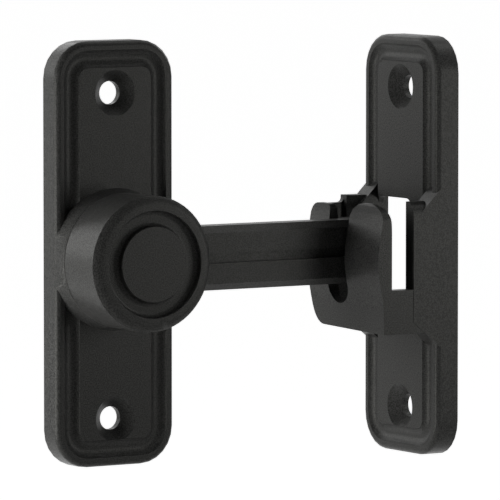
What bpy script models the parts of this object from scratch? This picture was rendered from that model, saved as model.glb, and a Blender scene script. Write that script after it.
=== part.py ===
"""A right-angle barn door latch: a lock plate with a turning knob and arm, and the keeper its arm hooks into.

Metres, +Z up. The origin is where the knob's axis meets the back of the lock plate. The lock plate faces -Y, its
arm reaches out along +X, and the keeper stands across the end of the arm, facing -X. Each plate is drawn in the
same plate frame: X across it, Z up it, and heights out of its back along -Y.
"""

import math

import bmesh
import bpy
from mathutils import Matrix

MM = 0.001

# The outline and the shell that both plates share
PLATE_WIDTH = 32.0 * MM
PLATE_HEIGHT = 100.0 * MM
PLATE_THICK = 6.0 * MM
PLATE_CORNER = 8.7 * MM
PLATE_EDGE = 1.3 * MM
PLATE_RISE = 1.3 * MM  # the middle of the plate above the knob's axis
PLATE_WALL = 1.7 * MM
PANEL_THICK = 2.5 * MM

# The cove that frames the raised panel
COVE_INSET = 4.2 * MM  # from the plate's edge to the middle of the cove
COVE_WIDTH = 4.2 * MM
COVE_DEPTH = 1.2 * MM

# The countersunk holes for the wood screws
HOLE_SPACING = 76.6 * MM
HOLES_RISE = 0.7 * MM  # the middle of the two holes above the knob's axis
HOLE_BORE = 5.5 * MM
SINK_WIDTH = 10.8 * MM
HOLE_BOSS = 13.0 * MM
HOLE_BOSS_DEPTH = 4.3 * MM  # from the plate's face to the back of the boss round each hole

# The knob and the boss that it turns on
KNOB_RADIUS = 15.9 * MM
KNOB_REACH = 18.0 * MM  # from the plate's face to the knob's face
KNOB_CHAMFER = 2.0 * MM
KNOB_CHAMFER_DEPTH = 1.6 * MM
KNOB_WALL = 2.6 * MM
KNOB_FACE_THICK = 4.6 * MM
DISC_RADIUS = 8.8 * MM
RING_WIDTH = 3.8 * MM
RING_DEPTH = 1.8 * MM
RING_FILLET = 1.2 * MM
BOSS_REACH = 3.4 * MM
BOSS_FOOT = 16.8 * MM
BOSS_EDGE = 0.5 * MM

# The pivot behind the knob, from the front washer to the screw
SPINDLE_RADIUS = 5.0 * MM
SPINDLE_PLAY = 0.2 * MM
FRICTION_RING_RADIUS = 7.6 * MM
FRICTION_RING_THICK = 0.8 * MM
HUB_RADIUS = 10.8 * MM
RECESS_RADIUS = 8.5 * MM
RECESS_DEPTH = 4.6 * MM
WAVE_HEIGHT = 0.5 * MM
WAVE_THICK = 0.35 * MM
WAVE_COUNT = 3
WASHER_RADIUS = 7.4 * MM
WASHER_THICK = 0.9 * MM
SCREW_RADIUS = 2.0 * MM
SCREW_LENGTH = 10.0 * MM
SCREW_HEAD_RADIUS = 4.0 * MM
SCREW_HEAD_HEIGHT = 1.5 * MM
SCREW_CROSS_WIDTH = 1.0 * MM

# The arm and the head across its end
ARM_HEIGHT = 15.2 * MM
ARM_THICK = 6.2 * MM
ARM_REACH = 10.45 * MM  # from the plate's face to the arm's face
ARM_CHAMFER = 1.6 * MM
ARM_GROOVE_WIDTH = 2.3 * MM
ARM_GROOVE_DEPTH = 1.0 * MM
ARM_FILLET = 1.6 * MM
HEAD_WIDTH = 13.8 * MM
HEAD_THICK = 3.6 * MM
HEAD_EDGE = 0.8 * MM

# Where the keeper stands
KEEPER_DISTANCE = 72.9 * MM  # from the knob's axis to the keeper's face
KEEPER_SETBACK = 0.5 * MM  # from the lock plate's back to the keeper's near edge

# The keeper's catch. Reaches are from the keeper's face, and rises are above the knob's axis
CHEEK_REACH = 6.6 * MM
NEAR_CHEEK = 2.6 * MM
FAR_CHEEK = 3.5 * MM
CHEEK_FOOT = 5.1 * MM
CHEEK_TOP = 12.5 * MM
CHEEK_SHOULDER = 3.0 * MM  # the round on the far cheek's corner
LIP_TOP = -8.2 * MM  # the top of the pocket's side walls, below the arm's head
UPPER_RAMP_FOOT = 14.4 * MM
LOWER_RAMP_FOOT = -21.4 * MM
LOWER_RAMP_HEAD = -16.0 * MM
HOOK_REACH = 15.0 * MM
HOOK_WALL = 2.3 * MM
HOOK_FLOOR = 2.6 * MM
HOOK_SIDE_WALL = 3.0 * MM
HOOK_BELLY = 1.6 * MM
HOOK_SKIRT = 4.0 * MM  # the straight foot of the front wall, below its belly
HOOK_EDGE = 0.6 * MM
HOOK_STEP = 0.1 * MM  # from the plate's sides in to the hook's
SLOT_WIDTH = 8.7 * MM
SLOT_BOTTOM = -12.4 * MM
NEAR_FINGER_TOP = 11.1 * MM
NEAR_SHOULDER = 3.0 * MM
NEAR_CORNER = 1.2 * MM
WIDE_FINGER_TOP = 12.2 * MM
FINGER_CROWN = 4.2 * MM
FINGER_LEAN = 6.6 * MM
FINGER_TIP = 0.7 * MM
WEB_THICK = 1.4 * MM
WEB_TOP = 10.7 * MM
WEB_FILLET = 1.2 * MM
HOOK_BOTTOM = -18.0 * MM
HOOK_FALL = 0.7 * MM  # how much lower the block hangs at its far end
HOOK_CUT_WIDTH = 5.7 * MM
HOOK_CUT_HEIGHT = 8.2 * MM
POCKET_CORNER = 2.0 * MM
WINDOW_WIDTH = 15.5 * MM
WINDOW_TOP = 12.4 * MM
WINDOW_CORNER = 1.9 * MM

# Clearances
SEAT_GAP = 0.3 * MM  # between pieces that rest on each other
HEAD_GAP = 0.6 * MM  # between the arm's head and the back of the catch's fingers
OVERLAP = 0.6 * MM  # how far joined solids run into each other
BEYOND = 2.0 * MM  # how far cutters run past what they cut

# Heights out of the lock plate's back, worked out from the sizes above
face = PLATE_THICK
boss_top = face + BOSS_REACH
knob_back = boss_top + SEAT_GAP
knob_top = face + KNOB_REACH
arm_face = face + ARM_REACH
arm_back = arm_face - ARM_THICK
arm_middle = arm_face - ARM_THICK / 2
recess_floor = RECESS_DEPTH
spindle_end = recess_floor - SEAT_GAP - WAVE_HEIGHT - WAVE_THICK - SEAT_GAP / 2
washer_top = spindle_end - SEAT_GAP / 2
washer_bottom = washer_top - WASHER_THICK
screw_seat = washer_bottom - SEAT_GAP / 2

# Places in the keeper's plate frame
slot_x = arm_middle - KEEPER_SETBACK - PLATE_WIDTH / 2
pocket_floor = HOOK_BOTTOM + HOOK_FLOOR
finger_back = HOOK_REACH - HOOK_WALL
half_width = PLATE_WIDTH / 2
near_foot, far_foot = CHEEK_FOOT - half_width, half_width - CHEEK_FOOT
near_wall, far_wall = NEAR_CHEEK - half_width, half_width - FAR_CHEEK
hook_side = half_width - HOOK_STEP
sunk = COVE_DEPTH + OVERLAP  # how deep the catch is rooted in the plate
hook_cut_centre = (HOOK_CUT_WIDTH - hook_side, HOOK_BOTTOM + HOOK_CUT_HEIGHT)

parts = bpy.data.collections.new("barn_door_latch")
tools = bpy.data.collections.new("latch_cutters")


def clear_scene():
    for item in list(bpy.data.objects):
        bpy.data.objects.remove(item, do_unlink=True)
    bpy.context.scene.collection.children.link(parts)
    bpy.context.scene.collection.children.link(tools)


def finish(name, colour, roughness, metallic):
    """A Principled material in one colour."""
    material = bpy.data.materials.new(name)
    material.use_nodes = True
    shader = material.node_tree.nodes["Principled BSDF"]
    shader.inputs["Base Color"].default_value = (*colour, 1.0)
    shader.inputs["Roughness"].default_value = roughness
    shader.inputs["Metallic"].default_value = metallic
    return material


def as_part(item, material):
    """Moves a finished solid to the parts, with its own material and smooth shading."""
    tools.objects.unlink(item)
    parts.objects.link(item)
    item.hide_render = False
    item.display_type = "TEXTURED"
    item.data.materials.clear()
    item.data.materials.append(material)
    item.data.shade_smooth()
    item.data.set_sharp_from_angle(angle=math.radians(30))


# Outlines

def ellipse_arc(centre, radii, start, end, steps=8):
    """Points along an ellipse from one angle to another, in degrees."""
    angles = [math.radians(start + (end - start) * i / steps) for i in range(steps + 1)]
    return [(centre[0] + radii[0] * math.cos(a), centre[1] + radii[1] * math.sin(a)) for a in angles]


def rounded(corners, steps=6):
    """An outline through corners given as (x, y, radius), each turned with an arc of its radius."""
    points = []
    for i, (x, y, radius) in enumerate(corners):
        if radius <= 0:
            points.append((x, y))
            continue
        before, after = corners[i - 1], corners[(i + 1) % len(corners)]
        to_before = math.atan2(before[1] - y, before[0] - x)
        to_after = math.atan2(after[1] - y, after[0] - x)
        opening = (to_after - to_before + math.pi) % (2 * math.pi) - math.pi
        half = abs(opening) / 2
        middle = to_before + opening / 2
        reach = radius / math.sin(half)
        centre = (x + reach * math.cos(middle), y + reach * math.sin(middle))
        first = middle + math.pi + math.copysign(math.pi / 2 - half, opening)
        last = middle + math.pi - math.copysign(math.pi / 2 - half, opening)
        for step in range(steps + 1):
            angle = first + (last - first) * step / steps
            points.append((centre[0] + radius * math.cos(angle), centre[1] + radius * math.sin(angle)))
    return points


def rectangle(left, right, bottom, top, corner=0.0, steps=6):
    corners = [(left, bottom, corner), (right, bottom, corner), (right, top, corner), (left, top, corner)]
    return rounded(corners, steps)


def plate_outline(inset=0.0, steps=6):
    """The plate's rounded rectangle, drawn in by an inset."""
    half_height = PLATE_HEIGHT / 2 - inset
    side = half_width - inset
    corner = max(PLATE_CORNER - inset, 0.1 * PLATE_CORNER)
    return rectangle(-side, side, PLATE_RISE - half_height, PLATE_RISE + half_height, corner, steps)


# Solids

def place(item, parent, matrix):
    tools.objects.link(item)
    item.parent = parent
    item.matrix_basis = matrix
    item.hide_render = True
    item.display_type = "WIRE"


def solid_from_curve(name, curve, parent, matrix):
    """The curve as a mesh object in the same place, with its caps welded and their spare edges dissolved."""
    guide = bpy.data.objects.new(name + "_guide", curve)
    bpy.context.scene.collection.objects.link(guide)
    graph = bpy.context.evaluated_depsgraph_get()
    mesh = bpy.data.meshes.new_from_object(guide.evaluated_get(graph))
    bpy.data.objects.remove(guide)
    shape = bmesh.new()
    shape.from_mesh(mesh)
    bmesh.ops.remove_doubles(shape, verts=shape.verts, dist=0.001 * MM)
    bmesh.ops.dissolve_limit(shape, angle_limit=math.radians(0.5), verts=shape.verts, edges=shape.edges)
    bmesh.ops.recalc_face_normals(shape, faces=shape.faces)
    shape.to_mesh(mesh)
    shape.free()
    solid = bpy.data.objects.new(name, mesh)
    place(solid, parent, matrix)
    return solid


FACING = {
    "X": Matrix(((0, 0, 1), (1, 0, 0), (0, 1, 0))).to_4x4(),
    "Y": Matrix(((1, 0, 0), (0, 0, -1), (0, 1, 0))).to_4x4(),
    "Z": Matrix.Identity(4),
}


def prism(name, outline, along, start, end, parent=None):
    """An outline extruded along an axis. It is drawn in XZ along Y, in YZ along X and in XY along Z."""
    curve = bpy.data.curves.new(name, "CURVE")
    curve.dimensions = "2D"
    curve.fill_mode = "BOTH"
    curve.extrude = abs(end - start) / 2
    spline = curve.splines.new("POLY")
    spline.points.add(len(outline) - 1)
    for point, (x, y) in zip(spline.points, outline):
        point.co = (x, y, 0.0, 1.0)
    spline.use_cyclic_u = True
    middle = [0.0, 0.0, 0.0]
    middle["XYZ".index(along)] = (start + end) / 2
    return solid_from_curve(name, curve, parent, Matrix.Translation(middle) @ FACING[along])


def ring_tube(name, path, radius, height, parent=None):
    """A round bar bent along a closed path in the plate's plane, at a height out of the plate's back."""
    curve = bpy.data.curves.new(name, "CURVE")
    curve.dimensions = "3D"
    curve.bevel_depth = radius
    curve.bevel_resolution = 8
    spline = curve.splines.new("POLY")
    spline.points.add(len(path) - 1)
    for point, (x, y) in zip(spline.points, path):
        point.co = (x, y, 0.0, 1.0)
    spline.use_cyclic_u = True
    return solid_from_curve(name, curve, parent, Matrix.Translation((0.0, -height, 0.0)) @ FACING["Y"])


def rod(name, radius, low, high, x=0.0, z=0.0, high_radius=None, sides=48, parent=None):
    """A cylinder or cone between two heights out of the plate's back."""
    shape = bmesh.new()
    top = radius if high_radius is None else high_radius
    bmesh.ops.create_cone(
        shape, cap_ends=True, segments=sides, radius1=radius, radius2=top, depth=high - low
    )
    mesh = bpy.data.meshes.new(name)
    shape.to_mesh(mesh)
    shape.free()
    solid = bpy.data.objects.new(name, mesh)
    place(solid, parent, Matrix.Translation((x, -(low + high) / 2, z)) @ FACING["Y"])
    return solid


def turned(name, profile, sides=64, closed=False, z=0.0, parent=None):
    """A profile of (radius, height) points, from the top down its outer side, turned about Y."""
    mesh = bpy.data.meshes.new(name)
    count = len(profile)
    edges = [(i, i + 1) for i in range(count - 1)]
    if closed:
        edges.append((count - 1, 0))
    mesh.from_pydata([(radius, 0.0, height) for radius, height in profile], edges, [])
    solid = bpy.data.objects.new(name, mesh)
    place(solid, parent, Matrix.Translation((0.0, 0.0, z)) @ FACING["Y"])
    screw = solid.modifiers.new("turn", "SCREW")
    screw.axis = "Z"
    screw.steps = sides
    screw.render_steps = sides
    screw.use_merge_vertices = True
    screw.merge_threshold = 0.001 * MM
    return solid


def boolean(piece, tool, operation):
    modifier = piece.modifiers.new(tool.name, "BOOLEAN")
    modifier.operation = operation
    modifier.solver = "EXACT"
    modifier.object = tool


def join(piece, *others):
    for other in others:
        boolean(piece, other, "UNION")


def cut(piece, *cutters):
    for cutter in cutters:
        boolean(piece, cutter, "DIFFERENCE")


def round_edges(piece, chosen, radius, segments=4):
    """Rounds the edges of a mesh whose two ends both pass a test on their local position."""
    shape = bmesh.new()
    shape.from_mesh(piece.data)
    edges = [edge for edge in shape.edges if all(chosen(v.co) for v in edge.verts)]
    bmesh.ops.bevel(
        shape, geom=edges, offset=radius, offset_type="OFFSET", segments=segments, profile=0.5,
        affect="EDGES", clamp_overlap=True,
    )
    shape.to_mesh(piece.data)
    shape.free()


# The plates

def cove_bar(name, parent=None):
    """The bar whose lower side cuts the cove round the raised panel."""
    radius = ((COVE_WIDTH / 2) ** 2 + COVE_DEPTH**2) / (2 * COVE_DEPTH)
    return ring_tube(name, plate_outline(COVE_INSET), radius, face + radius - COVE_DEPTH, parent)


def plate_blank(name, parent=None):
    """The rounded plate with its softened front edge and the cove, still solid behind."""
    plate = prism(name, plate_outline(), "Y", -face, 0.0, parent)
    round_edges(plate, lambda co: co.z > 0.49 * PLATE_THICK, PLATE_EDGE)
    cut(plate, cove_bar(name + "_cove", parent))
    return plate


def hollow_back(plate, parent=None):
    """The hollow behind the panel, inside the plate's wall."""
    outline = plate_outline(PLATE_WALL)
    cut(plate, prism(plate.name + "_hollow", outline, "Y", PANEL_THICK - face, BEYOND, parent))


def paired(solid):
    """A second copy of a solid, at the plate's other wood screw hole."""
    pair = solid.modifiers.new("pair", "ARRAY")
    pair.count = 2
    pair.use_relative_offset = False
    pair.use_constant_offset = True
    pair.constant_offset_displace = (0.0, -HOLE_SPACING, 0.0)
    return solid


def hole_bosses(plate, parent=None):
    """The bosses behind the panel, round the wood screws' holes."""
    upper_hole = HOLES_RISE + HOLE_SPACING / 2
    low, high = face - HOLE_BOSS_DEPTH, face - PANEL_THICK + OVERLAP
    join(plate, paired(rod(plate.name + "_bosses", HOLE_BOSS / 2, low, high, z=upper_hole, parent=parent)))


def screw_holes(plate, parent=None):
    """The wood screws' bores, countersunk from the face."""
    bore = HOLE_BORE / 2
    sink_depth = SINK_WIDTH / 2 - bore
    profile = [
        (0.0, face + BEYOND), (SINK_WIDTH / 2 + BEYOND, face + BEYOND), (bore, face - sink_depth),
        (bore, -BEYOND), (0.0, -BEYOND),
    ]
    upper_hole = HOLES_RISE + HOLE_SPACING / 2
    cut(plate, paired(turned(plate.name + "_holes", profile, 48, z=upper_hole, parent=parent)))


def lock_plate():
    """The lock plate: its boss flares out to its sides, and its hub behind holds the pivot's washers."""
    plate = plate_blank("lock_plate")
    flare = (BOSS_FOOT - KNOB_RADIUS) / BOSS_REACH
    boss = turned("boss", [
        (0.0, boss_top),
        *ellipse_arc((KNOB_RADIUS - BOSS_EDGE, boss_top - BOSS_EDGE), (BOSS_EDGE, BOSS_EDGE), 90, 0, 3),
        (BOSS_FOOT + flare * OVERLAP, face - OVERLAP),
        (0.0, face - OVERLAP),
    ])
    boolean(boss, prism("boss_limit", plate_outline(), "Y", -boss_top - BEYOND, 0.0), "INTERSECT")
    join(plate, boss)
    hollow_back(plate)
    join(plate, rod("hub", HUB_RADIUS, 0.0, face - PANEL_THICK + OVERLAP))
    hole_bosses(plate)
    seat = FRICTION_RING_RADIUS + SEAT_GAP
    seat_floor = boss_top - FRICTION_RING_THICK - SEAT_GAP
    bore = SPINDLE_RADIUS + SPINDLE_PLAY
    cut(plate, turned("pivot_room", [
        (0.0, boss_top + BEYOND), (seat, boss_top + BEYOND), (seat, seat_floor), (bore, seat_floor),
        (bore, recess_floor), (RECESS_RADIUS, recess_floor), (RECESS_RADIUS, -BEYOND), (0.0, -BEYOND),
    ]))
    screw_holes(plate)
    return plate


# The knob and its arm

def knob_profile():
    """The knob's face with its ring and disc, its skirt, and the spindle with its tapped hole."""
    fillet = (RING_FILLET, RING_FILLET)
    ring_outer = DISC_RADIUS + RING_WIDTH
    fillet_height = knob_top - RING_DEPTH + RING_FILLET
    screw_hole = SCREW_RADIUS + SEAT_GAP
    hole_top = screw_seat + SCREW_LENGTH + SEAT_GAP
    return [
        (0.0, knob_top),
        (DISC_RADIUS, knob_top),
        *ellipse_arc((DISC_RADIUS + RING_FILLET, fillet_height), fillet, 180, 270, 5),
        *ellipse_arc((ring_outer - RING_FILLET, fillet_height), fillet, 270, 360, 5),
        (ring_outer, knob_top),
        (KNOB_RADIUS - KNOB_CHAMFER, knob_top),
        (KNOB_RADIUS, knob_top - KNOB_CHAMFER_DEPTH),
        (KNOB_RADIUS, knob_back),
        (SPINDLE_RADIUS, knob_back),
        (SPINDLE_RADIUS, spindle_end),
        (screw_hole, spindle_end),
        (screw_hole, hole_top),
        (0.0, hole_top),
    ]


def arm_section():
    """The arm across its length: chamfered along its front edges, with a groove down its face."""
    half = ARM_HEIGHT / 2
    groove = ARM_GROOVE_WIDTH / 2
    front, floor = -arm_face, -arm_face + ARM_GROOVE_DEPTH
    return [
        (front, -groove), (floor, -groove), (floor, groove), (front, groove),
        (front, half - ARM_CHAMFER), (front + ARM_CHAMFER, half), (-arm_back, half),
        (-arm_back, -half), (front + ARM_CHAMFER, -half), (front, -half + ARM_CHAMFER),
    ]


def arm_root_fillet(name, side):
    """The small web that eases the arm's edge into the knob's round side. Side is 1 above and -1 below."""
    half = ARM_HEIGHT / 2
    centre_z = half + ARM_FILLET
    centre_x = math.sqrt((KNOB_RADIUS + ARM_FILLET) ** 2 - centre_z**2)
    start = math.degrees(math.atan2(-centre_z, -centre_x))
    curve = ellipse_arc((centre_x, centre_z), (ARM_FILLET, ARM_FILLET), start, -90, 5)
    inside = [(centre_x, half - OVERLAP), (KNOB_RADIUS - KNOB_WALL, half - OVERLAP)]
    outline = [(x, side * z) for x, z in curve + inside]
    return prism(name, outline, "Y", -arm_face + ARM_CHAMFER, -arm_back)


def turn_knob():
    """The knob, its hollow skirt, the arm and the arm's head, cast as one."""
    knob = turned("turn_knob", knob_profile())
    head_near = KEEPER_DISTANCE - finger_back + HEAD_GAP
    arm = prism("arm", arm_section(), "X", KNOB_RADIUS - KNOB_WALL - OVERLAP, head_near + HEAD_THICK / 2)
    half, side = ARM_HEIGHT / 2, HEAD_WIDTH / 2
    head_outline = rectangle(-arm_middle - side, -arm_middle + side, -half, half, HEAD_EDGE, 3)
    head = prism("arm_head", head_outline, "X", head_near, head_near + HEAD_THICK)
    skirt = rectangle_profile(
        FRICTION_RING_RADIUS, KNOB_RADIUS - KNOB_WALL, knob_back - BEYOND, knob_top - KNOB_FACE_THICK
    )
    skirt_room = turned("skirt_room", skirt, closed=True)
    join(knob, arm, arm_root_fillet("arm_fillet_upper", 1), arm_root_fillet("arm_fillet_lower", -1), head)
    cut(knob, skirt_room)
    return knob


# The pivot's small pieces

def rectangle_profile(inner, outer, low, high):
    """A closed ring's section, from the top down its outer side."""
    return [(inner, high), (outer, high), (outer, low), (inner, low)]


def ring(name, inner, outer, low, high):
    return turned(name, rectangle_profile(inner, outer, low, high), closed=True)


def wave_washer():
    """A thin spring ring, waved up and down round its circle."""
    inner = SPINDLE_RADIUS + SEAT_GAP
    outer = WASHER_RADIUS
    middle = recess_floor - SEAT_GAP - WAVE_THICK / 2 - WAVE_HEIGHT / 2
    sides = 48
    shape = bmesh.new()
    rims = [[], []]
    for i in range(sides):
        angle = 2 * math.pi * i / sides
        height = middle + WAVE_HEIGHT / 2 * math.cos(WAVE_COUNT * angle)
        for rim, radius in zip(rims, (inner, outer)):
            rim.append(shape.verts.new((radius * math.cos(angle), radius * math.sin(angle), height)))
    for i in range(sides):
        j = (i + 1) % sides
        shape.faces.new((rims[0][i], rims[1][i], rims[1][j], rims[0][j]))
    mesh = bpy.data.meshes.new("wave_washer")
    shape.to_mesh(mesh)
    shape.free()
    washer = bpy.data.objects.new("wave_washer", mesh)
    place(washer, None, FACING["Y"])
    wall = washer.modifiers.new("thickness", "SOLIDIFY")
    wall.thickness = WAVE_THICK
    wall.offset = 0.0
    return washer


def pivot_screw():
    """A low pan-head machine screw, driven from behind through the washer into the spindle."""
    head_low = screw_seat - SCREW_HEAD_HEIGHT
    edge = 0.4 * SCREW_HEAD_HEIGHT
    screw = turned("pivot_screw", [
        (0.0, screw_seat + SCREW_LENGTH),
        (SCREW_RADIUS - edge, screw_seat + SCREW_LENGTH),
        (SCREW_RADIUS, screw_seat + SCREW_LENGTH - edge),
        (SCREW_RADIUS, screw_seat),
        (SCREW_HEAD_RADIUS, screw_seat),
        *ellipse_arc((SCREW_HEAD_RADIUS - edge, head_low + edge), (edge, edge), 0, -90, 3),
        (0.0, head_low),
    ], sides=32)
    arm = 0.62 * SCREW_HEAD_RADIUS
    half = SCREW_CROSS_WIDTH / 2
    depth = 0.75 * SCREW_HEAD_HEIGHT
    for label, wide, tall in (("across", arm, half), ("upright", half, arm)):
        slot = rectangle(-wide, wide, -tall, tall)
        cut(screw, prism("screw_cross_" + label, slot, "Y", -head_low - depth, BEYOND))
    return screw


# The keeper

def out_of_face(points):
    """Points given as (reach from the face, height) turned into the YZ drawing that a prism along X takes."""
    return [(-(face + reach), z) for reach, z in points]


def finger_silhouette():
    """The catch seen from the lock: a narrow and a wide finger, the slot between them and the block below."""
    slot_half = SLOT_WIDTH / 2
    wide_half = (hook_side - slot_x - slot_half) / 2
    crown = (hook_side - wide_half, WIDE_FINGER_TOP - FINGER_CROWN)
    corner = (slot_x - slot_half - NEAR_CORNER, NEAR_FINGER_TOP - NEAR_CORNER)
    shoulder = (NEAR_SHOULDER - hook_side, NEAR_FINGER_TOP - NEAR_SHOULDER)
    return [
        (hook_side, HOOK_BOTTOM - HOOK_FALL),
        *ellipse_arc(crown, (wide_half, FINGER_CROWN), 0, 180, 14),
        *ellipse_arc((slot_x, SLOT_BOTTOM + slot_half), (slot_half, slot_half), 0, -180, 14),
        *ellipse_arc(corner, (NEAR_CORNER, NEAR_CORNER), 0, 90, 5),
        *ellipse_arc(shoulder, (NEAR_SHOULDER, NEAR_SHOULDER), 90, 180, 6),
        *ellipse_arc(hook_cut_centre, (HOOK_CUT_WIDTH, HOOK_CUT_HEIGHT), 180, 270, 10),
    ]


def pocket_silhouette():
    """The pocket inside the hook, one wall's thickness within the hook's own outline."""
    inner = hook_side - HOOK_SIDE_WALL
    near_corner = (HOOK_CUT_WIDTH - HOOK_SIDE_WALL, HOOK_CUT_HEIGHT - HOOK_FLOOR)
    far_corner = (inner - POCKET_CORNER, pocket_floor + POCKET_CORNER)
    return [
        (-inner, LIP_TOP + BEYOND),
        *ellipse_arc(hook_cut_centre, near_corner, 180, 270, 8),
        *ellipse_arc(far_corner, (POCKET_CORNER, POCKET_CORNER), -90, 0, 6),
        (inner, LIP_TOP + BEYOND),
    ]


def hook_profile():
    """The catch from its side: its side walls' top, the fingers' leaning backs and the bellied front wall."""
    top = max(NEAR_FINGER_TOP, WIDE_FINGER_TOP)
    crest = HOOK_REACH - FINGER_TIP
    back = finger_back
    spring = top - FINGER_LEAN
    bow_top = top - FINGER_TIP
    bow_low = HOOK_BOTTOM + HOOK_SKIRT
    bottom = HOOK_BOTTOM - HOOK_FALL - OVERLAP
    shares = [i / 14 for i in range(1, 15)]
    bow = [
        (HOOK_REACH + HOOK_BELLY * (1 - math.cos(2 * math.pi * s)) / 2, bow_top + (bow_low - bow_top) * s)
        for s in shares
    ]
    lean = ellipse_arc((crest, spring), (crest - back, FINGER_LEAN), 180, 90, 7)
    tip = ellipse_arc((crest, bow_top), (FINGER_TIP, FINGER_TIP), 90, 0, 4)[1:]
    outline = [(-sunk, LIP_TOP), (back, LIP_TOP), *lean, *tip, *bow, (HOOK_REACH, bottom), (-sunk, bottom)]
    return out_of_face(outline)


def catch(parent):
    """The hook: its side profile across the keeper, kept where the fingers' silhouette stands, and hollow."""
    hook = prism("hook", hook_profile(), "X", -half_width - BEYOND, half_width + BEYOND, parent)
    front = -(face + HOOK_REACH + HOOK_BELLY + BEYOND)
    boolean(hook, prism("fingers", finger_silhouette(), "Y", front, 0.0, parent), "INTERSECT")
    soften = hook.modifiers.new("soften", "BEVEL")
    soften.width = HOOK_EDGE
    soften.segments = 2
    soften.limit_method = "ANGLE"
    soften.angle_limit = math.radians(50)
    cut(hook, prism("hook_pocket", pocket_silhouette(), "Y", -(face + finger_back), 0.0, parent))
    return hook


def pedestal(parent):
    """The cheeks either side of the pocket, whose lower ends ramp down onto the plate's rim."""
    crown = CHEEK_SHOULDER
    low = LOWER_RAMP_FOOT - 2 * sunk
    base = prism("pedestal", [
        (-half_width, low), (half_width, low),
        *ellipse_arc((half_width - crown, CHEEK_TOP - crown), (crown, crown), 0, 90, 6),
        (-half_width, CHEEK_TOP),
    ], "Y", -(face + CHEEK_REACH), -(face - sunk), parent)
    slope = (LOWER_RAMP_HEAD - LOWER_RAMP_FOOT) / CHEEK_REACH
    before, after = -2 * sunk, CHEEK_REACH + BEYOND
    under = prism("lower_ramps", out_of_face([
        (before, LOWER_RAMP_FOOT + before * slope), (after, LOWER_RAMP_FOOT + after * slope),
        (after, low - BEYOND), (before, low - BEYOND),
    ]), "X", -half_width - BEYOND, half_width + BEYOND, parent)
    front = -(face + CHEEK_REACH)
    between = rectangle(near_foot, far_foot, low - BEYOND, HOOK_BOTTOM + OVERLAP)
    middle = prism("middle", between, "Y", front - BEYOND, 0.0, parent)
    pocket = prism("pocket", [
        (near_foot, 0.0), (far_foot, 0.0), (far_foot, -face), (far_wall, front),
        (far_wall, front - BEYOND), (near_wall, front - BEYOND), (near_wall, front), (near_foot, -face),
    ], "Z", pocket_floor, CHEEK_TOP + BEYOND, parent)
    cut(base, under, middle, pocket)
    return base


def upper_ramps(parent):
    """The wedges that lead from the plate's rim up to the cheeks' tops."""
    depth = UPPER_RAMP_FOOT - CHEEK_TOP + CHEEK_SHOULDER
    outline = out_of_face([(-sunk, UPPER_RAMP_FOOT + sunk), (-sunk, UPPER_RAMP_FOOT - depth),
                           (depth, UPPER_RAMP_FOOT - depth)])
    return (prism("upper_ramp_near", outline, "X", -half_width, near_foot, parent),
            prism("upper_ramp_far", outline, "X", far_foot, half_width, parent))


def web(parent):
    """The thin wall that ties the near finger to the near cheek."""
    low = LIP_TOP - OVERLAP
    start, end = CHEEK_REACH - OVERLAP, finger_back + OVERLAP
    radius = WEB_FILLET
    outline = out_of_face([
        (start, low), (start, WEB_TOP + radius),
        *ellipse_arc((CHEEK_REACH + radius, WEB_TOP + radius), (radius, radius), 180, 270, 5),
        (end, WEB_TOP), (end, low),
    ])
    return prism("web", outline, "X", -half_width, WEB_THICK - half_width, parent)


def keeper(parent):
    """The keeper: a plate like the lock's, with the hooked catch that holds the arm's head, cast as one."""
    plate = plate_blank("keeper", parent)
    join(plate, pedestal(parent), *upper_ramps(parent), catch(parent), web(parent))
    hollow_back(plate, parent)
    hole_bosses(plate, parent)
    right = near_foot + WINDOW_WIDTH
    window = rounded([
        (near_foot, pocket_floor, 0.0), (right, pocket_floor, 0.0),
        (right, WINDOW_TOP, WINDOW_CORNER), (near_foot, WINDOW_TOP, WINDOW_CORNER),
    ])
    cut(plate, prism("window", window, "Y", -(face + OVERLAP), BEYOND, parent))
    screw_holes(plate, parent)
    return plate


def main():
    clear_scene()
    keeper_frame = bpy.data.objects.new("keeper_frame", None)
    parts.objects.link(keeper_frame)
    keeper_frame.location = (KEEPER_DISTANCE + PLATE_THICK, -KEEPER_SETBACK - half_width, 0.0)
    keeper_frame.rotation_euler = (0.0, 0.0, -math.pi / 2)
    black = (0.022, 0.022, 0.022)
    steel = (0.45, 0.45, 0.46)
    as_part(lock_plate(), finish("lock_plate_coat", black, 0.5, 0.0))
    as_part(turn_knob(), finish("turn_knob_coat", black, 0.5, 0.0))
    as_part(keeper(keeper_frame), finish("keeper_coat", black, 0.5, 0.0))
    nylon = (0.75, 0.74, 0.70)
    spindle_room, screw_room = SPINDLE_RADIUS + SEAT_GAP, SCREW_RADIUS + SEAT_GAP
    friction_ring_low = boss_top - FRICTION_RING_THICK
    friction_ring = ring("friction_ring", spindle_room, FRICTION_RING_RADIUS, friction_ring_low, boss_top)
    as_part(friction_ring, finish("friction_nylon", nylon, 0.5, 0.0))
    as_part(wave_washer(), finish("wave_spring_steel", steel, 0.3, 1.0))
    end_washer = ring("end_washer", screw_room, WASHER_RADIUS, washer_bottom, washer_top)
    as_part(end_washer, finish("end_washer_zinc", steel, 0.3, 1.0))
    as_part(pivot_screw(), finish("pivot_screw_zinc", steel, 0.3, 1.0))


main()
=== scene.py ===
# %% [markdown]
# # A black barn door latch
# The latch is mainly three castings, taken to be zinc alloy. The lock plate is fixed to the door and the
# keeper to the frame, and the arm of the turning knob drops into the keeper's slot. This script takes the
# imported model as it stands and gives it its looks: soft cast edges, the grain of the powder coat, and the
# studio round it.

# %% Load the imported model
import math

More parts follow.
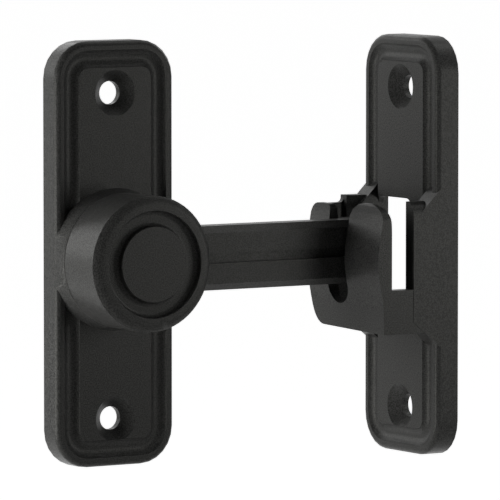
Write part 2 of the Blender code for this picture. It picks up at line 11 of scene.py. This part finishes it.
import bmesh
import bpy
import numpy as np
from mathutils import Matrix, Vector


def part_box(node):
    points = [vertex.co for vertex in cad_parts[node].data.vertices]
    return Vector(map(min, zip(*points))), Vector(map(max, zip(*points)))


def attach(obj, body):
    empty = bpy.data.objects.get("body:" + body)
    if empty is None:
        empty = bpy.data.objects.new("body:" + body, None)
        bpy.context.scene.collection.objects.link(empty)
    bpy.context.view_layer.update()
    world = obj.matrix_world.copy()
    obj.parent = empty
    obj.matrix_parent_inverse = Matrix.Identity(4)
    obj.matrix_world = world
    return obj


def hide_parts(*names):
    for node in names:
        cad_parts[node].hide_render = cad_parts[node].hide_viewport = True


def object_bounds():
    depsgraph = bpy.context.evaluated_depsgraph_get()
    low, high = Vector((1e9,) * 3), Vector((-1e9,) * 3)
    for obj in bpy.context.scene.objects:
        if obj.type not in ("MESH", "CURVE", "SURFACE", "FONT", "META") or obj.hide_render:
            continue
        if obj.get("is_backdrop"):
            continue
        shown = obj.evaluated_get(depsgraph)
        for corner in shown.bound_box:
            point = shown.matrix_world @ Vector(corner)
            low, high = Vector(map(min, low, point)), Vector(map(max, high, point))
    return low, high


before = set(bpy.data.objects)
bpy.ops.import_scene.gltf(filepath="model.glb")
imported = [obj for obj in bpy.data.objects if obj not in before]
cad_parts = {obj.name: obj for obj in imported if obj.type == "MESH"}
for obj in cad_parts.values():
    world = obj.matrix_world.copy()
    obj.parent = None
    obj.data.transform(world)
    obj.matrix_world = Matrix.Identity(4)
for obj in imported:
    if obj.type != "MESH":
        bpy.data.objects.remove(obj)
cad_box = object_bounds()
MM = 0.001
print("nodes:", ", ".join(sorted(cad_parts)))

# %% [markdown]
# ## The camera
# The photograph was taken from far off with a long lens, so the two plates hardly taper. A camera could be
# placed by eye, but six numbers fitted to the photograph's edges hold the view better: two angles, the
# distance, how far to the right and up the middle of the frame is from the knob's axis, and the lens.

# %% Set the camera
VIEW_AZIMUTH = math.radians(-31.94)
VIEW_ELEVATION = math.radians(4.53)
VIEW_DISTANCE = 1426 * MM
VIEW_RIGHT = 34.7 * MM
VIEW_UP = 1.8 * MM
LENS_OVER_SENSOR = 12.124
SENSOR_WIDTH = 36.0  # a camera's sensor and lens are given in millimetres
NEAREST_SEEN = 0.05
FARTHEST_SEEN = 50.0


def put_in_scene(name, data):
    """A new object at the origin, which holds a mesh, a camera or a lamp."""
    thing = bpy.data.objects.new(name, data)
    bpy.context.scene.collection.objects.link(thing)
    return thing


def camera_axes():
    """The view direction, and the right and up directions of the picture."""
    cos_up = math.cos(VIEW_ELEVATION)
    across = -math.sin(VIEW_AZIMUTH) * cos_up
    away = math.cos(VIEW_AZIMUTH) * cos_up
    ahead = Vector((across, away, -math.sin(VIEW_ELEVATION)))
    right = ahead.cross(Vector((0.0, 0.0, 1.0))).normalized()
    return ahead, right, right.cross(ahead)


def add_camera():
    """A long lens at the fitted place, looking straight ahead."""
    ahead, right, up = camera_axes()
    data = bpy.data.cameras.new("camera")
    data.sensor_width = SENSOR_WIDTH
    data.lens = data.sensor_width * LENS_OVER_SENSOR
    data.clip_start = NEAREST_SEEN
    data.clip_end = FARTHEST_SEEN
    camera = put_in_scene("camera", data)
    camera.location = -VIEW_DISTANCE * ahead + VIEW_RIGHT * right + VIEW_UP * up
    camera.rotation_euler = ahead.to_track_quat("-Z", "Y").to_euler()
    bpy.context.scene.camera = camera
    return camera


print("camera at", tuple(round(v, 3) for v in add_camera().location))

# %% [markdown]
# ## The powder coat
# Powder coat is a baked skin about a tenth of a millimetre thick. Up close it has two scales of relief: the
# orange peel where it flowed, a millimetre or so across, and a fine sandy grain from the texture in the
# powder. An image could carry both, but noise needs no file and has no seams. It reads Object coordinates, so
# that it stays on the casting as it turns. The shine is lower than a real coat's, because the coat mirrors a
# white room here, which would fill the dark coves with grey.

# %% Make the powder coats
COAT_DARK = (0.0120, 0.0120, 0.0116)
COAT_PALE = (0.0360, 0.0360, 0.0346)
COAT_ROUGHNESS = (0.30, 0.38)
COAT_SHINE = 0.06
SHINE_TINT = (1.0, 1.0, 0.93)
GRAIN_SIZE = 0.30 * MM
PEEL_SIZE = 1.6 * MM
GRAIN_HEIGHT = 0.028 * MM
PEEL_HEIGHT = 0.012 * MM
GRAIN_TURN = (0.40, 0.60)  # the stretch of the grain's noise over which the coat goes from dark to pale
NOISE_REACH = (0.3, 0.7)  # most of a noise's values lie between these
OPAQUE = 1.0


def new_material(name):
    """A new material, its node tree and its shader."""
    material = bpy.data.materials.new(name)
    material.use_nodes = True
    tree = material.node_tree
    return material, tree, tree.nodes["Principled BSDF"]


def noise(tree, size, detail=2.0, roughness=0.5):
    """Noise whose lumps are about one size across, on Object coordinates."""
    place = tree.nodes.new("ShaderNodeTexCoord")
    lumps = tree.nodes.new("ShaderNodeTexNoise")
    lumps.inputs["Scale"].default_value = 1.0 / size
    lumps.inputs["Detail"].default_value = detail
    lumps.inputs["Roughness"].default_value = roughness
    tree.links.new(place.outputs["Object"], lumps.inputs["Vector"])
    return lumps.outputs["Fac"]


def spread(tree, value, low, high, low_value, high_value):
    """Maps a value between low and high onto the range from low_value to high_value, and holds it there."""
    stretch = tree.nodes.new("ShaderNodeMapRange")
    sockets = ("From Min", "From Max", "To Min", "To Max")
    for socket, number in zip(sockets, (low, high, low_value, high_value)):
        stretch.inputs[socket].default_value = number
    tree.links.new(value, stretch.inputs["Value"])
    return stretch.outputs["Result"]


def blend_colours(tree, value, dark, pale):
    """The dark colour where the value is 0, the pale one where it is 1, and between them a blend."""
    ramp = tree.nodes.new("ShaderNodeValToRGB")
    ramp.color_ramp.elements[0].color = (*dark, OPAQUE)
    ramp.color_ramp.elements[1].color = (*pale, OPAQUE)
    tree.links.new(value, ramp.inputs["Fac"])
    return ramp.outputs["Color"]


def relief(tree, value, height, under=None):
    """A bump of a height in metres, which may lie over another bump."""
    bump = tree.nodes.new("ShaderNodeBump")
    bump.inputs["Strength"].default_value = 1.0
    bump.inputs["Distance"].default_value = height
    tree.links.new(value, bump.inputs["Height"])
    if under is not None:
        tree.links.new(under, bump.inputs["Normal"])
    return bump.outputs["Normal"]


def powder_coat(name):
    """Fine grain for colour and bump, and orange peel under it for roughness and a wider bump."""
    material, tree, shader = new_material(name)
    grain = noise(tree, GRAIN_SIZE, detail=3.0, roughness=0.6)
    peel = noise(tree, PEEL_SIZE)
    tone = spread(tree, grain, *GRAIN_TURN, 0.0, 1.0)
    bumps = relief(tree, grain, GRAIN_HEIGHT, relief(tree, peel, PEEL_HEIGHT))
    tree.links.new(blend_colours(tree, tone, COAT_DARK, COAT_PALE), shader.inputs["Base Color"])
    tree.links.new(spread(tree, peel, *NOISE_REACH, *COAT_ROUGHNESS), shader.inputs["Roughness"])
    tree.links.new(bumps, shader.inputs["Normal"])
    shader.inputs["Specular IOR Level"].default_value = COAT_SHINE
    shader.inputs["Specular Tint"].default_value = (*SHINE_TINT, OPAQUE)
    return material


plate_coat = powder_coat("lock_plate_powder_coat")
keeper_coat = powder_coat("keeper_powder_coat")
knob_coat = powder_coat("knob_powder_coat")
print("coats:", ", ".join(coat.name for coat in (plate_coat, keeper_coat, knob_coat)))

# %% [markdown]
# ## The metal and the nylon
# Behind the knob sit a nylon ring, a waved spring, a flat washer and a screw. The washer and the screw show
# only from behind, and the ring and the spring are hidden until the latch is taken apart. One function makes
# every plated finish, since they differ only in tone, roughness and grain, and nylon lets a little light in.

# %% Make the metal and nylon finishes
SPRING_COLOUR = (0.42, 0.42, 0.43)
SPRING_ROUGHNESS = 0.28
SPRING_GRAIN = 0.3 * MM
ZINC_COLOUR = (0.55, 0.56, 0.57)
WASHER_ROUGHNESS = 0.32
SCREW_ROUGHNESS = 0.30
ZINC_GRAIN = 0.4 * MM
PLATING_HEIGHT = 0.01 * MM
PLATING_SWING = 0.3  # how far the roughness swings either way, as a share of it
NYLON_DARK = (0.66, 0.64, 0.58)
NYLON_PALE = (0.78, 0.77, 0.72)
NYLON_MOTTLE = 0.8 * MM
NYLON_ROUGHNESS = 0.45
NYLON_CLOUD = 0.1  # the share of the light that goes into the nylon
NYLON_DEPTH = 1.0 * MM


def plated_steel(name, colour, roughness, grain_size):
    """Plated metal, whose roughness varies in a fine grain."""
    material, tree, shader = new_material(name)
    grain = noise(tree, grain_size, detail=4.0, roughness=0.7)
    swing = PLATING_SWING * roughness
    varied = spread(tree, grain, *NOISE_REACH, roughness - swing, roughness + swing)
    shader.inputs["Base Color"].default_value = (*colour, OPAQUE)
    shader.inputs["Metallic"].default_value = 1.0
    tree.links.new(varied, shader.inputs["Roughness"])
    tree.links.new(relief(tree, grain, PLATING_HEIGHT), shader.inputs["Normal"])
    return material


def nylon(name):
    """Natural nylon, a little mottled and a little cloudy."""
    material, tree, shader = new_material(name)
    colour = blend_colours(tree, noise(tree, NYLON_MOTTLE), NYLON_DARK, NYLON_PALE)
    tree.links.new(colour, shader.inputs["Base Color"])
    shader.inputs["Roughness"].default_value = NYLON_ROUGHNESS
    shader.inputs["Subsurface Weight"].default_value = NYLON_CLOUD
    shader.inputs["Subsurface Radius"].default_value = (NYLON_DEPTH, NYLON_DEPTH, NYLON_DEPTH)
    return material


ring_nylon = nylon("ring_nylon")
spring_temper = plated_steel("spring_temper", SPRING_COLOUR, SPRING_ROUGHNESS, SPRING_GRAIN)
washer_plating = plated_steel("washer_plating", ZINC_COLOUR, WASHER_ROUGHNESS, ZINC_GRAIN)
screw_plating = plated_steel("screw_plating", ZINC_COLOUR, SCREW_ROUGHNESS, ZINC_GRAIN)
print("finishes:", ring_nylon.name, spring_temper.name, washer_plating.name, screw_plating.name)

# %% [markdown]
# ## Cast edges
# Nothing cast and coated has a truly sharp edge: the coat pulls round every corner in a radius of about a
# third of a millimetre, and that is what catches the light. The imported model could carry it, but it is too
# fine for a model that must also collide. So a copy of each casting gets the edge from a Bevel, and Weighted
# Normal keeps its flat faces flat.

# %% Dress the castings
COAT_EDGE = 0.34 * MM
EDGE_STEPS = 2
JOINING_DISTANCE = 0.002 * MM
LEVEL_WITHIN = math.radians(0.4)
SHARP_FROM = math.radians(32)
ROUNDED_FROM = math.radians(40)


def merged_copy(node, name):
    """A copy of a node's mesh with its loose triangles joined, and level ones dissolved into whole faces."""
    shape = bmesh.new()
    shape.from_mesh(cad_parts[node].data)
    bmesh.ops.remove_doubles(shape, verts=shape.verts, dist=JOINING_DISTANCE)
    bmesh.ops.dissolve_limit(shape, angle_limit=LEVEL_WITHIN, verts=shape.verts, edges=shape.edges)
    mesh = bpy.data.meshes.new(name)
    shape.to_mesh(mesh)
    shape.free()
    return put_in_scene(name, mesh)


def stand_for(piece, node, body, material):
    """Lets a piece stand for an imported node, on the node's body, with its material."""
    piece.data.materials.append(material)
    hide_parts(node)
    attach(piece, body)
    print(piece.name, len(piece.data.polygons), "faces")


def dress(node, name, body, material, edge_width=COAT_EDGE):
    """A merged copy of a node, with its sharp edges rounded, which stands for it."""
    piece = merged_copy(node, name)
    piece.data.shade_smooth()
    piece.data.set_sharp_from_angle(angle=SHARP_FROM)
    edge = piece.modifiers.new("soft_edge", "BEVEL")
    edge.width = edge_width
    edge.segments = EDGE_STEPS
    edge.limit_method = "ANGLE"
    edge.angle_limit = ROUNDED_FROM
    edge.use_clamp_overlap = True
    level = piece.modifiers.new("level_faces", "WEIGHTED_NORMAL")
    level.keep_sharp = False
    stand_for(piece, node, body, material)


dress("lock_plate", "coated_lock_plate", "fixed_plates", plate_coat)
dress("keeper", "coated_keeper", "fixed_plates", keeper_coat)
dress("turn_knob", "coated_knob", "knob_and_arm", knob_coat)

# %% [markdown]
# ## The nylon ring
# A nylon ring, a waved spring and a flat washer sit round the pivot. Each is one rounded section carried
# round the knob's axis, so one surface on a grid of two parameters makes all three. A stock torus would be
# quicker, but its section is round and theirs are flat. The nylon ring comes first.

# %% Turn the nylon ring
RING_SIDES = 144
CORNER_POINTS = 5
SPINDLE_ROOM = 5.3 * MM  # the radius of a hole that clears the spindle
MOULDED_EDGE = 0.15 * MM


def rounded_section(inner, outer, low, high, edge):
    """A rectangle with round corners: each corner's middle plus the edge radius times (cos a, sin a)."""
    middles = ((outer - edge, high - edge), (inner + edge, high - edge),
               (inner + edge, low + edge), (outer - edge, low + edge))
    quarter = np.linspace(0.0, math.pi / 2, CORNER_POINTS)
    corners = []
    for turn, middle in enumerate(middles):
        angle = quarter + turn * math.pi / 2
        corners.append(np.array(middle) + edge * np.stack([np.cos(angle), np.sin(angle)], axis=1))
    return np.concatenate(corners)


def carried_round(name, section, rise=0.0, waves=0):
    """A section's points (r, y) carried round the Y axis.

    At the angle t each point is at (r cos t, y + rise cos(waves t), r sin t).
    """
    turn = np.linspace(0.0, 2.0 * math.pi, RING_SIDES, endpoint=False)[:, None]
    radius, along = section[:, 0][None, :], section[:, 1][None, :]
    waved = along + rise * np.cos(waves * turn)
    grid = np.stack([radius * np.cos(turn), waved, radius * np.sin(turn)], axis=-1)
    count = len(section)
    here = np.arange(RING_SIDES)[:, None] * count
    there = (here + count) % (RING_SIDES * count)
    point = np.arange(count)[None, :]
    after = (point + 1) % count
    faces = np.stack([here + point, here + after, there + after, there + point], axis=-1).reshape(-1, 4)
    mesh = bpy.data.meshes.new(name)
    mesh.from_pydata(grid.reshape(-1, 3).tolist(), [], faces.tolist())
    mesh.shade_smooth()
    return put_in_scene(name, mesh)


def flat_ring(name, node, inner, edge):
    """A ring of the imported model's own reach and thickness, with its edges rounded."""
    low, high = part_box(node)
    return carried_round(name, rounded_section(inner, high[0], low[1], high[1], edge))


nylon_ring = flat_ring("nylon_ring", "friction_ring", SPINDLE_ROOM, MOULDED_EDGE)
stand_for(nylon_ring, "friction_ring", "fixed_plates", ring_nylon)

# %% [markdown]
# ## The waved spring
# The spring is a thin stamped ring bent into three waves, which push the knob and the lock plate together. A
# flat ring could be bent by a modifier, but the same surface with a rise along the axis is a shorter way.

# %% Turn the waved spring
SPRING_THICKNESS = 0.35 * MM
SPRING_WAVES = 3
STAMPED_EDGE = 0.09 * MM


def spring_ring(name, node):
    """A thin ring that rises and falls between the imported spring's two faces."""
    low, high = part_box(node)
    middle, half = (low[1] + high[1]) / 2, SPRING_THICKNESS / 2
    section = rounded_section(SPINDLE_ROOM, high[0], middle - half, middle + half, STAMPED_EDGE)
    return carried_round(name, section, rise=(high[1] - low[1]) / 2 - half, waves=SPRING_WAVES)


spring_washer = spring_ring("spring_washer", "wave_washer")
stand_for(spring_washer, "wave_washer", "fixed_plates", spring_temper)

# %% [markdown]
# ## The flat washer
# The washer spreads the screw's push on the spindle's end. It is stamped, so its edges are finer than the
# nylon ring's, and its hole is only as wide as the screw needs. The ring's own function makes it.

# %% Turn the flat washer
SCREW_ROOM = 2.3 * MM  # the radius of a hole that clears the screw
flat_washer = flat_ring("flat_washer", "end_washer", SCREW_ROOM, STAMPED_EDGE)
stand_for(flat_washer, "end_washer", "knob_and_arm", washer_plating)

# %% [markdown]
# ## The pivot screw
# Only the head of the screw shows, from behind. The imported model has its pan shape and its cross, so a merged
# copy with a fine bevel is enough: the plated edges of the cross then catch the light.

# %% Dress the pivot screw
SCREW_EDGE = 0.06 * MM
dress("pivot_screw", "plated_screw", "knob_and_arm", screw_plating, SCREW_EDGE)

# %% [markdown]
# ## The white room
# The latch was photographed on white, and a mirror there would show white all round it, so that is what the
# camera and every mirror and glass see here. The light that falls on the coat is another matter: the room
# hardly glows on it, so that the coves stay dark. A picture of a studio could light the latch, but Light Path
# keeps what is seen and what gives light apart, and needs no file.

# %% Make the white room
WHITE = 1.0
ROOM_GLOW = 0.02


def seen_or(tree, glow, seen_glow):
    """One strength for what the camera, a mirror or a glass sees, and another for the light on the latch."""
    path = tree.nodes.new("ShaderNodeLightPath")
    seen = path.outputs["Is Camera Ray"]
    for ray in ("Is Glossy Ray", "Is Transmission Ray"):
        either = tree.nodes.new("ShaderNodeMath")
        either.operation = "MAXIMUM"
        tree.links.new(seen, either.inputs[0])
        tree.links.new(path.outputs[ray], either.inputs[1])
        seen = either.outputs["Value"]
    return spread(tree, seen, 0.0, 1.0, glow, seen_glow)


def make_world():
    """A room that looks white and hardly glows."""
    world = bpy.data.worlds.new("studio")
    world.use_nodes = True
    tree = world.node_tree
    background = tree.nodes["Background"]
    background.inputs["Color"].default_value = (WHITE, WHITE, WHITE, OPAQUE)
    tree.links.new(seen_or(tree, ROOM_GLOW, WHITE), background.inputs["Strength"])
    bpy.context.scene.world = world
    return world


bpy.context.scene.view_settings.view_transform = "Standard"
print("room:", make_world().name)

# %% [markdown]
# ## The floor
# The latch hangs clear of the floor, which lies well below it and reaches far out of the picture. It could be
# bleached by stronger lamps, but they would bleach the latch too. So it is plain and pale, and only looks
# white to the camera and to mirrors.

# %% Lay the floor
FLOOR_DROP = 0.25
FLOOR_REACH = 30.0
FLOOR_GREY = 0.80
FLOOR_ROUGHNESS = 0.9
FLOOR_SEEN = 0.98


def make_floor():
    """One square face below the latch."""
    low = cad_box[0].z - FLOOR_DROP
    corners = [(-FLOOR_REACH, -FLOOR_REACH, low), (FLOOR_REACH, -FLOOR_REACH, low),
               (FLOOR_REACH, FLOOR_REACH, low), (-FLOOR_REACH, FLOOR_REACH, low)]
    mesh = bpy.data.meshes.new("floor")
    mesh.from_pydata(corners, [], [(0, 1, 2, 3)])
    floor = put_in_scene("floor", mesh)
    material, tree, shader = new_material("pale_floor")
    shader.inputs["Base Color"].default_value = (FLOOR_GREY, FLOOR_GREY, FLOOR_GREY, OPAQUE)
    shader.inputs["Roughness"].default_value = FLOOR_ROUGHNESS
    shader.inputs["Specular IOR Level"].default_value = 0.0
    shader.inputs["Emission Color"].default_value = (WHITE, WHITE, WHITE, OPAQUE)
    tree.links.new(seen_or(tree, 0.0, FLOOR_SEEN), shader.inputs["Emission Strength"])
    mesh.materials.append(material)
    floor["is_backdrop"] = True
    return low


print("floor at", round(make_floor(), 4), "m")

# %% [markdown]
# ## The lamps
# A black coat shows its shape mostly by what it mirrors. So the small lamp at the front right stands near
# where the faces towards the viewer mirror it, and the two behind stand near where the keeper's face and its
# ramps mirror them. The near lamp at the left brings out the plate's edge and the knob's side, and the others
# fill in softly from the left, the right and above. Light from all round would be simpler, but it makes the
# coat look flat. Plain grey in the latch's place showed about its own grey on average over the faces that
# were measured, and over twice that on the knob's left side, its brightest in the photograph too.

# %% Set the lamps
LAMPS = {
    "left_near": {"toward": (-1.0, 0.15, -0.15), "distance": 0.32, "width": 0.22, "power": 1.75},
    "left_high": {"toward": (-0.87, 0.3, 0.4), "distance": 1.0, "width": 0.3, "power": 1.2},
    "left_behind": {"toward": (-0.53, 0.85, 0.3), "distance": 1.0, "width": 0.5, "power": 3.0},
    "behind_high": {"toward": (0.1, 0.85, 0.45), "distance": 1.0, "width": 0.5, "power": 2.0},
    "above": {"toward": (0.5, -0.05, 0.9), "distance": 1.0, "width": 0.5, "power": 2.4},
    "right": {"toward": (0.9, 0.15, 0.4), "distance": 1.0, "width": 0.5, "power": 4.3},
    "right_front": {"toward": (0.62, -0.78, 0.08), "distance": 0.26, "width": 0.14, "power": 0.34},
}


def soft_lamp(name, toward, distance, width, power):
    """A square area light at a distance from the latch, facing its middle."""
    data = bpy.data.lights.new(name, "AREA")
    data.size = width
    data.energy = power
    lamp = put_in_scene(name, data)
    middle = (cad_box[0] + cad_box[1]) / 2
    direction = Vector(toward).normalized()
    lamp.location = middle + distance * direction
    lamp.rotation_euler = (-direction).to_track_quat("-Z", "Y").to_euler()


for name, lamp in LAMPS.items():
    soft_lamp(name, **lamp)
print("lamps:", ", ".join(LAMPS))

# %% [markdown]
# ## Finish
# The two boxes show how far the dressed latch has grown beyond the size of the model it came from.

# %% Compare the sizes
seen_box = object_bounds()
growth = (seen_box[1] - seen_box[0]) - (cad_box[1] - cad_box[0])
print("grew by", [round(side / MM, 2) for side in growth], "mm")
